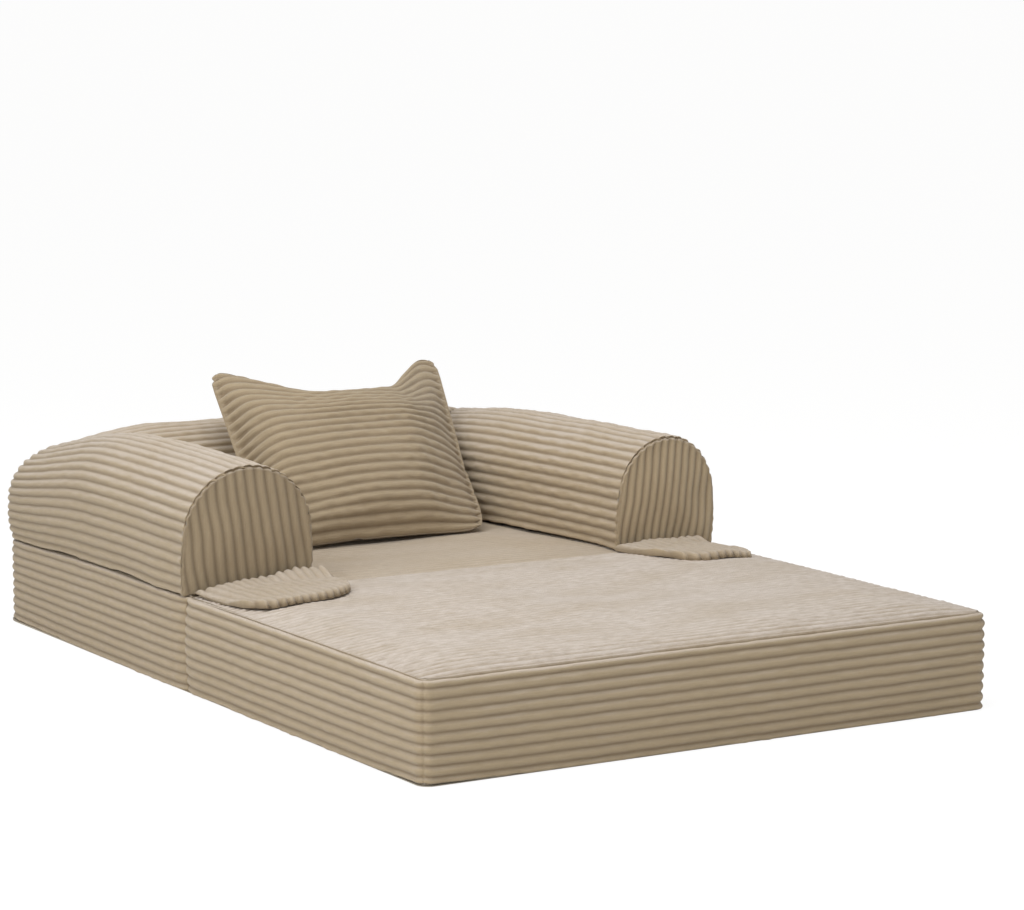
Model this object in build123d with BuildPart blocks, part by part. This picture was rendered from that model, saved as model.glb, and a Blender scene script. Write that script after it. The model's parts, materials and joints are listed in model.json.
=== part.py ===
from build123d import *
from math import asin, cos, pi, radians, sin, sqrt
import os

os.makedirs("parts", exist_ok=True)

# The two foam base blocks, laid end to end
base_width = 1245
front_depth = 955
rear_depth = 965
base_height = 190
front_corner_radius = 30
rear_corner_radius = 100
fold_clearance = 0.3

# Wide-rib quilted cloth, and the plain cloth under the blocks
rib_pitch = 19
rib_depth = 3
rib_outline_shares = ((0, 0), (0.28, 1), (0.72, 1))
quilt_thickness = 6
bottom_thickness = 2
foam_clearance = 0.3

# Crown of the two top panels
crown_height = 9
crown_run = 110
crown_edge_width = 90

# Bolster round the seat: two arms and a back of one section
bolster_width = 268
bolster_height = 245
mitre_seam = 0.3
mitre_angle = 45
quarter_turn = 90
turn_overrun = 5
arch_lining_facets = 9

# D-shaped flaps at the foot of each arm
flap_side_margin = 2
flap_depth = 205
flap_backing_thickness = 3
flap_face_thickness = 9
flap_clearance = 0.3

# Fabric hinge along the fold, and the zips in the two bottom panels
hinge_leaf_width = 40
hinge_leaf_gap = 0.15
zip_end_margin = 172.5
zip_half_width = 12
zip_flange_width = 8
zip_tape_thickness = 1
zip_ceiling = 8
zip_coil_width = 5
zip_coil_height = 2
zip_clearance = 0.3
slider_length = 12
slider_width = 9
slider_floor = 3.2
ear_thickness = 1
ear_radius = 1.3
pull_pin_radius = 0.6
pull_pin_clearance = 0.1
pull_pin_height = 1.7
pull_width = 5
pull_thickness = 1
pull_length = 22

# Loose pillow that leans on the back
pillow_width = 550
pillow_height = 490
pillow_thickness = 160
pillow_seam_thickness = 8
pillow_seam_allowance = 25
pillow_draw_in = 18
pillow_edge_rise = 3
pillow_rib_count = 21
pillow_station_shares = (-1, -0.88, -0.5, 0, 0.5, 0.88, 1)
pillow_lining_shares = (-1, -0.6, 0.6, 1)
pillow_lining_facets = 8
pillow_swell_share = 0.6
pillow_lean = 48
pillow_arm_gap = 9.5
pillow_clearance = 0.4

# Reach of a cutting shape past what it cuts
overrun = 5

# Places that follow from the sizes above
half_width = base_width / 2
rear_y = (front_depth + rear_depth) / 2
front_y = -rear_y
fold_y = front_y + front_depth
arch_radius = bolster_width / 2
spring_height = bolster_height - arch_radius
seat_half_width = half_width - bolster_width
seat_rear_y = rear_y - bolster_width
up = Vector(0, 0, 1)


def rib_count(length):
    """Whole number of ribs that comes nearest to the pitch."""
    return max(1, round(length / rib_pitch))


def ribbed_line(place, ribs):
    """Corners of a ribbed line: place(t, out) is the point at share t of it, out from its valleys."""
    corners = [place((i + t) / ribs, rib_depth * out) for i in range(ribs) for t, out in rib_outline_shares]
    return corners + [place(1, 0)]


def plain_line(place, facets):
    """Corners of the same kind of line without ribs, as the foam and the linings have."""
    return [place(i / facets, 0) for i in range(facets + 1)]


def section_plane(origin, along, outward):
    """Plane whose x runs along the cloth and whose y points out of it."""
    return Plane(origin=origin, x_dir=along, z_dir=Vector(along).cross(Vector(outward)))


def ribbed_slab(plane, length, thickness):
    """Section of flat ribbed cloth from its lining, at y = 0, to its crests."""
    with BuildSketch(plane) as slab:
        with BuildLine():
            ribs = ribbed_line(lambda t, out: (length * t, thickness - rib_depth + out), rib_count(length))
            Polyline(*ribs, (length, 0), (0, 0), close=True)
        make_face()
    return slab.sketch


def ribbed_arch(plane):
    """Section of a bolster over its ribs: two upright sides and a half-round top."""

    def side(t, out):
        return rib_depth - out, spring_height * t

    def top(t, out):
        radius = arch_radius - rib_depth + out
        return arch_radius - radius * cos(pi * t), spring_height + radius * sin(pi * t)

    outer_side = ribbed_line(side, rib_count(spring_height))
    half_round = ribbed_line(top, rib_count(pi * arch_radius))
    inner_side = [(bolster_width - x, z) for x, z in reversed(outer_side)]
    with BuildSketch(plane) as arch:
        with BuildLine():
            Polyline(*outer_side, *half_round[1:], *inner_side[1:], close=True)
        make_face()
    return arch.sketch


def plain_arch(plane, inset):
    """Section of a bolster without ribs, inset all round but at its flat foot."""

    def top(t, out):
        radius = arch_radius - inset + out
        return arch_radius - radius * cos(pi * t), spring_height + radius * sin(pi * t)

    with BuildSketch(plane) as arch:
        with BuildLine():
            half_round = plain_line(top, arch_lining_facets)
            Polyline((inset, 0), *half_round, (bolster_width - inset, 0), close=True)
        make_face()
    return arch.sketch


def outer_strip(plane, arch):
    """The part of a bolster's section that turns round the outer corner."""
    with BuildSketch(plane) as strip:
        with Locations((rear_corner_radius / 2, bolster_height / 2)):
            Rectangle(rear_corner_radius, bolster_height + overrun)
    return arch & strip.sketch


def bolster_plane(foot, inward):
    """Upright plane across a bolster, x running inward from its outer foot."""
    return Plane(origin=foot, x_dir=inward, z_dir=Vector(inward).cross(up))


def arm_form(side, near_y, make_arch):
    """One arm from near_y back to the mitre, with its share of the round corner."""
    pivot = Vector(side * (half_width - rear_corner_radius), rear_y - rear_corner_radius, base_height)
    near = bolster_plane((side * half_width, near_y, base_height), (-side, 0, 0))
    turn = bolster_plane((side * half_width, pivot.Y, base_height), (-side, 0, 0))
    to_arm = Vector(side, -1, 0).normalized()
    strip = outer_strip(turn, make_arch(turn))
    with BuildPart() as form:
        extrude(make_arch(near), amount=pivot.Y - near_y, dir=(0, 1, 0))
        revolve(strip, Axis(pivot, up * side), revolution_arc=mitre_angle + turn_overrun)
        split(bisect_by=Plane(origin=pivot + to_arm * (mitre_seam / 2), z_dir=to_arm), keep=Keep.TOP)
    return form.part


def back_form(make_arch):
    """The back between its two mitres, with its share of both round corners."""
    reach = half_width - rear_corner_radius
    near = bolster_plane((-reach, rear_y, base_height), (0, -1, 0))
    with BuildPart() as form:
        extrude(make_arch(near), amount=2 * reach, dir=(1, 0, 0))
        for side in (-1, 1):
            pivot = Vector(side * reach, rear_y - rear_corner_radius, base_height)
            turn = bolster_plane((side * reach, rear_y, base_height), (0, -1, 0))
            strip = outer_strip(turn, make_arch(turn))
            revolve(strip, Axis(pivot, up * -side), revolution_arc=mitre_angle + turn_overrun)
        for side in (-1, 1):
            pivot = Vector(side * reach, rear_y - rear_corner_radius, base_height)
            to_back = Vector(-side, 1, 0).normalized()
            split(bisect_by=Plane(origin=pivot + to_back * (mitre_seam / 2), z_dir=to_back), keep=Keep.TOP)
    return form.part


def block_size(direction):
    """Depth of a block and radius of its far corners: the front block runs to -Y, the rear one to +Y."""
    if direction > 0:
        return rear_depth, rear_corner_radius
    return front_depth, front_corner_radius


def block_outline(plane, direction, inset, near_gap):
    """Plan of a base block: square at the fold, rounded at its far corners."""
    depth, radius = block_size(direction)
    length = depth - near_gap - inset
    with BuildSketch(plane) as outline:
        with Locations((0, fold_y + direction * (near_gap + length / 2))):
            Rectangle(base_width - 2 * inset, length)
        far = outline.vertices().group_by(Axis.Y)[-1 if direction > 0 else 0]
        fillet(far, radius - inset)
    return outline.sketch


def pad_section(near, far, share):
    """Section of a crowned pad: ribs on a curve that falls towards both ends."""
    floor = base_height - quilt_thickness

    def top(t, out):
        along = near + (far - near) * t
        edge = min(along - near, far - along, crown_run) / crown_run
        return along, base_height - rib_depth + crown_height * share * (1 - (1 - edge) ** 2) + out

    with BuildSketch() as section:
        with BuildLine():
            Polyline(*ribbed_line(top, rib_count(far - near)), (far, floor), (near, floor), close=True)
        make_face()
    return section.sketch


def crown_stations(half):
    """Places across a pad, each with its share of the crown."""
    shoulder = half - crown_edge_width
    return [(-half, 0), (-shoulder, 1), (shoulder, 1), (half, 0)]


# Base blocks: front is the part that folds under, rear carries the seat
near_gap = fold_clearance + quilt_thickness
core_inset = quilt_thickness + foam_clearance
core_floor = bottom_thickness + foam_clearance
core_top = base_height - quilt_thickness - foam_clearance
zip_length = base_width - 2 * zip_end_margin
groove_half_width = zip_half_width + zip_flange_width + foam_clearance
groove_ceiling = zip_ceiling + zip_tape_thickness + foam_clearance

for block, direction in (("front", -1), ("rear", 1)):
    depth, radius = block_size(direction)
    far_y = fold_y + direction * depth
    zip_y = fold_y + direction * depth / 2
    toward_far = (0, direction, 0)

    # Foam block, grooved below for the zip
    with BuildPart() as foam_core:
        extrude(
            block_outline(Plane.XY.offset(core_floor), direction, core_inset, near_gap + foam_clearance),
            amount=core_top - core_floor,
        )
        with BuildSketch(Plane.XY.offset(core_floor)):
            with Locations((0, zip_y)):
                Rectangle(zip_length + 2 * foam_clearance, 2 * groove_half_width)
        extrude(amount=groove_ceiling - core_floor, mode=Mode.SUBTRACT)
    foam_core.part.label = f"{block}_foam_core"
    export_step(foam_core.part, f"parts/{block}_foam_core.step")

    # Boxing: one ribbed band round both sides and the far end
    with BuildPart() as boxing:
        for side in (-1, 1):
            inner_x = side * (half_width - quilt_thickness)
            run = depth - fold_clearance - radius
            foot = section_plane((inner_x, fold_y + direction * fold_clearance, 0), (0, 0, 1), (side, 0, 0))
            extrude(ribbed_slab(foot, base_height, quilt_thickness), amount=run, dir=toward_far)
            turn = section_plane((inner_x, far_y - direction * radius, 0), (0, 0, 1), (side, 0, 0))
            pivot = Vector(side * (half_width - radius), far_y - direction * radius, 0)
            revolve(
                ribbed_slab(turn, base_height, quilt_thickness),
                Axis(pivot, up * (side * direction)),
                revolution_arc=quarter_turn,
            )
        end_foot = (-(half_width - radius), far_y - direction * quilt_thickness, 0)
        end_band = ribbed_slab(section_plane(end_foot, (0, 0, 1), toward_far), base_height, quilt_thickness)
        extrude(end_band, amount=base_width - 2 * radius, dir=(1, 0, 0))
    boxing.part.label = f"{block}_boxing"
    export_step(boxing.part, f"parts/{block}_boxing.step")

    # Ribbed panel on the face that meets the other block
    with BuildPart() as fold_panel:
        face = section_plane(
            (-(half_width - quilt_thickness), fold_y + direction * near_gap, bottom_thickness),
            (0, 0, 1),
            (0, -direction, 0),
        )
        extrude(
            ribbed_slab(face, base_height - bottom_thickness, quilt_thickness),
            amount=base_width - 2 * quilt_thickness,
            dir=(1, 0, 0),
        )
    fold_panel.part.label = f"{block}_fold_panel"
    export_step(fold_panel.part, f"parts/{block}_fold_panel.step")

    # Plain bottom in two cloths, one on each side of the zip
    for place, away in (("near", -direction), ("far", direction)):
        with BuildPart() as bottom_panel:
            outline = block_outline(Plane.XY, direction, quilt_thickness, hinge_leaf_width)
            extrude(outline, amount=bottom_thickness)
            edge = Plane(origin=(0, zip_y + away * zip_half_width, 0), z_dir=(0, away, 0))
            split(bisect_by=edge, keep=Keep.TOP)
        bottom_panel.part.label = f"{block}_bottom_{place}_panel"
        export_step(bottom_panel.part, f"parts/{block}_bottom_{place}_panel.step")

    # Tabs of the same cloth, sewn across between them beyond each end of the zip
    tab_length = half_width - quilt_thickness - zip_length / 2
    with BuildPart() as zip_end_tabs:
        with BuildSketch(Plane.XY):
            with Locations(*[(side * (zip_length + tab_length) / 2, zip_y) for side in (-1, 1)]):
                Rectangle(tab_length, 2 * zip_half_width)
        extrude(amount=bottom_thickness)
    zip_end_tabs.part.label = f"{block}_zip_end_tabs"
    export_step(zip_end_tabs.part, f"parts/{block}_zip_end_tabs.step")

    # Leaf of the fabric hinge, sewn along the lower edge of the fold
    with BuildPart() as hinge_leaf:
        leaf_depth = hinge_leaf_width - hinge_leaf_gap
        with BuildSketch(Plane.XY):
            with Locations((0, fold_y + direction * (hinge_leaf_gap + leaf_depth / 2))):
                Rectangle(base_width - 2 * quilt_thickness, leaf_depth)
        extrude(amount=bottom_thickness)
    hinge_leaf.part.label = f"{block}_hinge_leaf"
    export_step(hinge_leaf.part, f"parts/{block}_hinge_leaf.step")

    # Zip tape in a hat section: flanges on the panel, coil hung from the crown
    with BuildPart() as zip_tape:
        flange = zip_half_width + zip_flange_width
        flange_top = bottom_thickness + zip_tape_thickness
        wall = zip_half_width + zip_tape_thickness
        coil = zip_coil_width / 2
        with BuildSketch(Plane(origin=(-zip_length / 2, zip_y, 0), x_dir=(0, 1, 0), z_dir=(1, 0, 0))):
            with BuildLine():
                Polyline(
                    (0, zip_ceiling + zip_tape_thickness),
                    (wall, zip_ceiling + zip_tape_thickness),
                    (wall, flange_top),
                    (flange, flange_top),
                    (flange, bottom_thickness),
                    (zip_half_width, bottom_thickness),
                    (zip_half_width, zip_ceiling),
                    (coil, zip_ceiling),
                    (coil, zip_ceiling - zip_coil_height),
                    (0, zip_ceiling - zip_coil_height),
                )
                mirror(about=Plane.YZ)
            make_face()
        extrude(amount=zip_length)
    zip_tape.part.label = f"{block}_zip_tape"
    export_step(zip_tape.part, f"parts/{block}_zip_tape.step")

    # Slider near the closed end, where its pull can still be turned right over, with two ears for it
    ear_x = zip_length / 2 - zip_clearance - pull_length
    slider_x = ear_x - ear_radius + slider_length / 2
    ear_reach = pull_width / 2 + zip_clearance + ear_thickness
    with BuildPart() as zip_slider:
        with BuildSketch(Plane.XY.offset(slider_floor)):
            with Locations((slider_x, zip_y)):
                Rectangle(slider_length, slider_width)
        extrude(amount=zip_ceiling - zip_clearance - slider_floor)
        with BuildSketch(Plane.XY.offset(zip_ceiling - zip_coil_height - zip_clearance)):
            with Locations((slider_x, zip_y)):
                Rectangle(slider_length + overrun, zip_coil_width + 2 * zip_clearance)
        extrude(amount=zip_coil_height + zip_clearance, mode=Mode.SUBTRACT)
        for ear_y in (zip_y - ear_reach + ear_thickness, zip_y + ear_reach):
            with BuildSketch(Plane.XZ.offset(-ear_y)):
                with Locations((ear_x, (pull_pin_height + slider_floor) / 2)):
                    Rectangle(2 * ear_radius, slider_floor - pull_pin_height)
                with Locations((ear_x, pull_pin_height)):
                    Circle(ear_radius)
                    Circle(pull_pin_radius + pull_pin_clearance, mode=Mode.SUBTRACT)
            extrude(amount=ear_thickness)
    zip_slider.part.label = f"{block}_zip_slider"
    export_step(zip_slider.part, f"parts/{block}_zip_slider.step")

    # Pull: flat tab on a pin through the ears, lying along the zip
    with BuildPart() as zip_pull:
        with BuildSketch(Plane.XZ.offset(-zip_y - ear_reach)):
            with Locations((ear_x, pull_pin_height)):
                Circle(pull_pin_radius)
        extrude(amount=2 * ear_reach)
        with BuildSketch(Plane.XY.offset(pull_pin_height - pull_pin_radius)):
            with Locations((ear_x - pull_length / 2, zip_y)):
                SlotOverall(pull_length, pull_width)
        extrude(amount=pull_thickness)
    zip_pull.part.label = f"{block}_zip_pull"
    export_step(zip_pull.part, f"parts/{block}_zip_pull.step")

# Ribbed top of the front block, crowned, its far corners rounded
with BuildPart() as front_top_panel:
    for x, share in crown_stations(half_width - quilt_thickness):
        with BuildSketch(Plane.YZ.offset(x)):
            add(pad_section(front_y + quilt_thickness, fold_y - near_gap, share))
    loft(ruled=True)
    extrude(
        block_outline(Plane.XY, -1, quilt_thickness, near_gap),
        amount=base_height + crown_height + overrun,
        mode=Mode.INTERSECT,
    )
front_top_panel.part.label = "front_top_panel"
export_step(front_top_panel.part, "parts/front_top_panel.step")

# Seat panel: ribbed and crowned between the bolsters, flat under them
with BuildPart() as seat_panel:
    for x, share in crown_stations(seat_half_width):
        with BuildSketch(Plane.YZ.offset(x)):
            add(pad_section(fold_y + near_gap, seat_rear_y, share))
    loft(ruled=True)
    with BuildSketch(Plane.XY.offset(base_height - quilt_thickness)):
        add(block_outline(Plane.XY, 1, quilt_thickness, near_gap))
        with Locations((0, (fold_y + near_gap + seat_rear_y) / 2)):
            Rectangle(2 * seat_half_width, seat_rear_y - fold_y - near_gap, mode=Mode.SUBTRACT)
    extrude(amount=quilt_thickness)
seat_panel.part.label = "seat_panel"
export_step(seat_panel.part, "parts/seat_panel.step")

# Arms: foam, ribbed cover open at the foot, and an end cap with upright ribs
cap_back_y = fold_y + near_gap
for name, side in (("left", -1), ("right", 1)):
    with BuildPart() as arm_core:
        add(arm_form(side, cap_back_y + foam_clearance, lambda plane: plain_arch(plane, core_inset)))
    arm_core.part.label = f"{name}_arm_core"
    export_step(arm_core.part, f"parts/{name}_arm_core.step")

    with BuildPart() as arm_cover:
        add(arm_form(side, cap_back_y, ribbed_arch))
        hollow = arm_form(side, cap_back_y, lambda plane: plain_arch(plane, quilt_thickness))
        add(hollow, mode=Mode.SUBTRACT)
    arm_cover.part.label = f"{name}_arm_cover"
    export_step(arm_cover.part, f"parts/{name}_arm_cover.step")

    with BuildPart() as end_cap:
        slab = section_plane(
            (side * half_width - (bolster_width if side > 0 else 0), cap_back_y, base_height),
            (1, 0, 0),
            (0, -1, 0),
        )
        extrude(ribbed_slab(slab, bolster_width, quilt_thickness), amount=bolster_height, dir=(0, 0, 1))
        cap_x = side * (half_width - arch_radius)
        with BuildSketch(Plane.XZ.offset(-fold_y)):
            with Locations((cap_x, base_height + spring_height / 2)):
                Rectangle(bolster_width, spring_height)
            with Locations((cap_x, base_height + spring_height)):
                Circle(arch_radius)
        extrude(amount=near_gap, dir=(0, 1, 0), mode=Mode.INTERSECT)
    end_cap.part.label = f"{name}_arm_end_cap"
    export_step(end_cap.part, f"parts/{name}_arm_end_cap.step")

# Back: the same section between the two mitres
with BuildPart() as back_core:
    add(back_form(lambda plane: plain_arch(plane, core_inset)))
back_core.part.label = "back_core"
export_step(back_core.part, "parts/back_core.step")

with BuildPart() as back_cover:
    add(back_form(ribbed_arch))
    add(back_form(lambda plane: plain_arch(plane, quilt_thickness)), mode=Mode.SUBTRACT)
back_cover.part.label = "back_cover"
export_step(back_cover.part, "parts/back_cover.step")

# Flaps: ribbed face on a plain backing, hinged at the foot of each end cap
flap_floor = base_height + crown_height + flap_clearance
flap_width = bolster_width - 2 * flap_side_margin
flap_radius = flap_width / 2
for name, side in (("left", -1), ("right", 1)):
    flap_x = side * (half_width - arch_radius)
    for layer, floor, thickness in (
        ("backing", flap_floor, flap_backing_thickness),
        ("face", flap_floor + flap_backing_thickness, flap_face_thickness),
    ):
        with BuildPart() as flap:
            with BuildSketch(Plane.XY.offset(floor)):
                straight = flap_depth - flap_radius
                with Locations((flap_x, fold_y - straight / 2)):
                    Rectangle(flap_width, straight)
                with Locations((flap_x, fold_y - straight)):
                    Circle(flap_radius)
                with Locations((flap_x, fold_y + flap_radius)):
                    Rectangle(flap_width, flap_width, mode=Mode.SUBTRACT)
            extrude(amount=thickness)
            if layer == "face":
                slab = section_plane((flap_x - flap_radius, fold_y, floor), (1, 0, 0), (0, 0, 1))
                extrude(
                    ribbed_slab(slab, flap_width, thickness),
                    amount=flap_depth,
                    dir=(0, -1, 0),
                    mode=Mode.INTERSECT,
                )
        flap.part.label = f"{name}_flap_{layer}"
        export_step(flap.part, f"parts/{name}_flap_{layer}.step")

# Pillow: a pointed lens in section, leaning on the back and standing on the seat by its lower ears
lean = radians(pillow_lean)
pillow_up = Vector(0, sin(lean), cos(lean))
pillow_front = Vector(0, -cos(lean), sin(lean))
half_seam = pillow_seam_thickness / 2
face_rise = pillow_thickness / 2 - half_seam
face_radius = ((pillow_height / 2 - pillow_draw_in) ** 2 + face_rise**2) / (2 * face_rise)
to_face_centre = pillow_front * (face_radius - pillow_thickness / 2)
ear_floor = base_height + crown_height + pillow_clearance
pillow_x = seat_half_width - pillow_arm_gap - pillow_width / 2
pillow_z = ear_floor + pillow_height / 2 * cos(lean) + half_seam * sin(lean)
drop = pillow_z + to_face_centre.Z - (base_height + spring_height)
reach = sqrt((face_radius + arch_radius + pillow_clearance) ** 2 - drop**2)
pillow_y = rear_y - arch_radius - reach - to_face_centre.Y
pillow_centre = Vector(pillow_x, pillow_y, pillow_z)


def lens_face(half, rise):
    """Bowed face of the pillow, as a place(t, out) from its lower edge to its upper one."""
    radius = (half**2 + rise**2) / (2 * rise)
    spread = asin(half / radius)

    def place(t, out):
        angle = spread * (2 * t - 1)
        return (radius + out) * sin(angle), half_seam + (radius + out) * cos(angle) - radius + rise

    return place


def pillow_form(inset, wall, ribbed):
    """Pillow lofted through lens sections, thin at its sides and drawn in between its ears."""
    with BuildPart() as form:
        for share in pillow_station_shares if ribbed else pillow_lining_shares:
            middle = 1 - share**2
            half = pillow_height / 2 - inset - pillow_draw_in * middle
            rise = pillow_edge_rise + (face_rise - wall - pillow_edge_rise) * middle**pillow_swell_share
            valley_rise = rise - rib_depth if ribbed else rise
            face = lens_face(half, max(valley_rise, pillow_edge_rise))
            place = pillow_centre + Vector(share * (pillow_width / 2 - inset), 0, 0)
            with BuildSketch(Plane(origin=place, x_dir=pillow_up, z_dir=(1, 0, 0))):
                with BuildLine():
                    if ribbed:
                        front = ribbed_line(face, pillow_rib_count)
                    else:
                        front = plain_line(face, pillow_lining_facets)
                    Polyline(*front, *[(v, -w) for v, w in reversed(front)], close=True)
                make_face()
        loft(ruled=True)
    return form.part


with BuildPart() as pillow_filling:
    add(pillow_form(pillow_seam_allowance, quilt_thickness + foam_clearance, False))
pillow_filling.part.label = "pillow_filling"
export_step(pillow_filling.part, "parts/pillow_filling.step")

with BuildPart() as pillow_cover:
    add(pillow_form(0, 0, True))
    add(pillow_form(pillow_seam_allowance, quilt_thickness, False), mode=Mode.SUBTRACT)
    with BuildSketch(Plane(origin=pillow_centre, x_dir=(1, 0, 0), z_dir=pillow_front)):
        for side in (-1, 1):
            edge, ear = side * pillow_width / 2, pillow_height / 2
            past = edge + side * overrun
            with BuildLine():
                ThreePointArc((edge, -ear), (edge - side * pillow_draw_in, 0), (edge, ear))
                Polyline((edge, ear), (past, ear), (past, -ear), (edge, -ear))
            make_face()
    extrude(amount=pillow_thickness, both=True, mode=Mode.SUBTRACT)
pillow_cover.part.label = "pillow_cover"
export_step(pillow_cover.part, "parts/pillow_cover.step")
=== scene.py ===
import json
import math

import bmesh
import bpy
import numpy as np
from mathutils import Euler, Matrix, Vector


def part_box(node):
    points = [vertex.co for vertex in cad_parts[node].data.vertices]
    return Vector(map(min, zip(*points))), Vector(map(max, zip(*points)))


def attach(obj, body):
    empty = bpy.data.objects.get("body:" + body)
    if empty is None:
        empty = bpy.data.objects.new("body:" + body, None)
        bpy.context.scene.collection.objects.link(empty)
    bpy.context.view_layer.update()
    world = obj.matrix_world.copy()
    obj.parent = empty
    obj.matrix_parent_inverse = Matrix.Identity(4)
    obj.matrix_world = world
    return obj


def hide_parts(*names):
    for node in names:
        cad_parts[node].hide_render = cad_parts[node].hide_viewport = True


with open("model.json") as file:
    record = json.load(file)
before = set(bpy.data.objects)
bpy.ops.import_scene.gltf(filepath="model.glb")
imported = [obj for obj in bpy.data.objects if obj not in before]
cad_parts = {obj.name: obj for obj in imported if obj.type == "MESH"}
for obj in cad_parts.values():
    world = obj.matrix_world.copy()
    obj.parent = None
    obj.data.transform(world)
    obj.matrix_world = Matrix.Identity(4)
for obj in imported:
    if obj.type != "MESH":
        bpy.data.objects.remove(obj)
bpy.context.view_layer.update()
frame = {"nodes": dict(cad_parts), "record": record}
scene = bpy.context.scene
scene.view_settings.view_transform = "Standard"

# Camera of a catalogue photograph: a long lens, well back from the front left corner
# of the unfolded bed and a little above its arms.
image_width = 1024
focal_pixels = 3380
camera_down = 8
camera_right = 31.2
camera_data = bpy.data.cameras.new("camera")
camera_data.sensor_width = 36
camera_data.lens = focal_pixels * camera_data.sensor_width / image_width
camera = bpy.data.objects.new("camera", camera_data)
camera.location = (-3.4865, -5.995, 1.406)
camera.rotation_euler = Euler((math.radians(90 - camera_down), 0, math.radians(-camera_right)))
scene.collection.objects.link(camera)
scene.camera = camera


# Wide-rib corduroy: plump padded ribs with a short brushed pile, sewn down to a lining along
# the narrow valleys. Every cover is cut from it, so its shape and its finish are made here once.
rib_pitch = 0.0195
rib_depth = 0.0045
rib_floor = 0.02
rib_power = 0.42
rib_waver = 0.0004
pile_relief = 0.0011
# Colours of the pile: the crest colour is its own, and the valley colour is painted shade between the ribs
# that also darkens the streaks. The pale colour is a painted top light where the cloth faces up, and it also
# pales flecks of pile.
streak_and_valley_shade_colour = np.array([0.262, 0.192, 0.110])
crest_colour = np.array([0.462, 0.362, 0.226])
pile_and_top_light_colour = np.array([0.590, 0.524, 0.466])


class Value:
    """A shader socket that takes Python's own arithmetic: each sign adds one Math node."""

    def __init__(self, finish, socket):
        self.finish = finish
        self.socket = socket

    def math(self, operation, first, second):
        return self.finish.node("ShaderNodeMath", {"operation": operation}, {0: first, 1: second})

    def __add__(self, other):
        return self.math("ADD", self, other)

    def __sub__(self, other):
        return self.math("SUBTRACT", self, other)

    def __rsub__(self, other):
        return self.math("SUBTRACT", other, self)

    def __mul__(self, other):
        return self.math("MULTIPLY", self, other)

    __radd__ = __add__
    __rmul__ = __mul__


class Finish:
    """One material while it is put together. node() adds any other shader node."""

    def __init__(self, name, **constants):
        self.material = bpy.data.materials.new(name)
        self.material.use_nodes = True
        self.tree = self.material.node_tree
        self.shader = self.tree.nodes["Principled BSDF"]
        for socket, value in constants.items():
            self.shader.inputs[socket.replace("_", " ")].default_value = value

    def node(self, kind, settings, inputs, output=0):
        made = self.tree.nodes.new(kind)
        for name, value in settings.items():
            setattr(made, name, value)
        for name, value in inputs.items():
            self.feed(made.inputs[name], value)
        return Value(self, made.outputs[output])

    def feed(self, socket, value):
        if isinstance(value, Value):
            self.tree.links.new(value.socket, socket)
        else:
            socket.default_value = value

    def place(self, scale, source="Object"):
        """Texture coordinates of the piece, in metres, times a scale for each direction."""
        point = self.node("ShaderNodeTexCoord", {}, {}, source)
        return self.node("ShaderNodeMapping", {}, {"Vector": point, "Scale": scale})

    def noise(self, place, detail=2.0, roughness=0.5):
        return self.node("ShaderNodeTexNoise", {}, {"Vector": place, "Scale": 1.0, "Detail": detail,
                                                    "Roughness": roughness})

    def spread(self, value, low, high):
        """Stretches the part of a value from low to high over 0 to 1."""
        return self.node("ShaderNodeMapRange", {}, {"Value": value, "From Min": low, "From Max": high})

    def mix(self, share, first, second):
        return self.node("ShaderNodeMix", {"data_type": "RGBA"}, {0: share, 6: first, 7: second}, 2)

    def bump(self, height, distance, strength=1.0):
        return self.node("ShaderNodeBump", {}, {"Height": height, "Distance": distance, "Strength": strength})


def corduroy(name, top_light_share, top_light_patchiness, streaking, grain=(30, 420, 1), tone=1.0):
    """Pile that is paler on the ribs, with painted shade between them and a painted top light where it faces
    up.
    The painted top light comes in patches 0.1 to 0.2 m wide, and streaks follow the ribs on the cloth's own
    grain."""
    colours = (streak_and_valley_shade_colour, crest_colour, pile_and_top_light_colour)
    streak_and_valley_shade, crest, pile_and_top_light = ((*(colour * tone), 1) for colour in colours)
    finish = Finish(name, Sheen_Weight=0.3, Sheen_Roughness=0.45, Specular_IOR_Level=0.12)
    rib = finish.node("ShaderNodeAttribute", {"attribute_name": "rib"}, {}, "Fac")
    painted_top_light = finish.node("ShaderNodeAttribute", {"attribute_name": "painted_top_light"}, {}, "Fac")
    patches = finish.spread(finish.noise(finish.place((5, 9, 9)), 5, 0.62), 0.36, 0.68)
    streaks = finish.spread(finish.noise(finish.place(grain, "UV"), 4, 0.65), 0.36, 0.64)
    pile = finish.spread(finish.noise(finish.place((560, 560, 560)), 3, 0.7), 0.3, 0.75)
    # Painted shade between the ribs: the valley colour where they are low, the crest colour on them.
    shade = finish.mix(finish.spread(rib, 0.0, 0.9), streak_and_valley_shade, crest)
    # Painted top light: paler where the cloth faces up, more on the crests, in random patches.
    shade = finish.mix(painted_top_light * (0.3 + rib * 0.7) * (top_light_share + patches * top_light_patchiness), shade, pile_and_top_light)
    shade = finish.mix(streaks * streaking, shade, streak_and_valley_shade)
    shade = finish.mix(pile * 0.22, shade, pile_and_top_light)
    finish.feed(finish.shader.inputs["Base Color"], shade)
    finish.feed(finish.shader.inputs["Roughness"], 0.98 - patches * 0.12)
    finish.feed(finish.shader.inputs["Normal"], finish.bump(pile + streaks * 0.6, pile_relief, 0.6))
    return finish.material


side_corduroy = corduroy("corduroy_sides", top_light_share=0.50, top_light_patchiness=0.35, streaking=0.22)


def smooth(low, high, x):
    """Rises from 0 at low to 1 at high as a smooth step, 3t^2 - 2t^3."""
    t = np.clip((x - low) / (high - low), 0, 1)
    return t * t * (3 - 2 * t)


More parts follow.
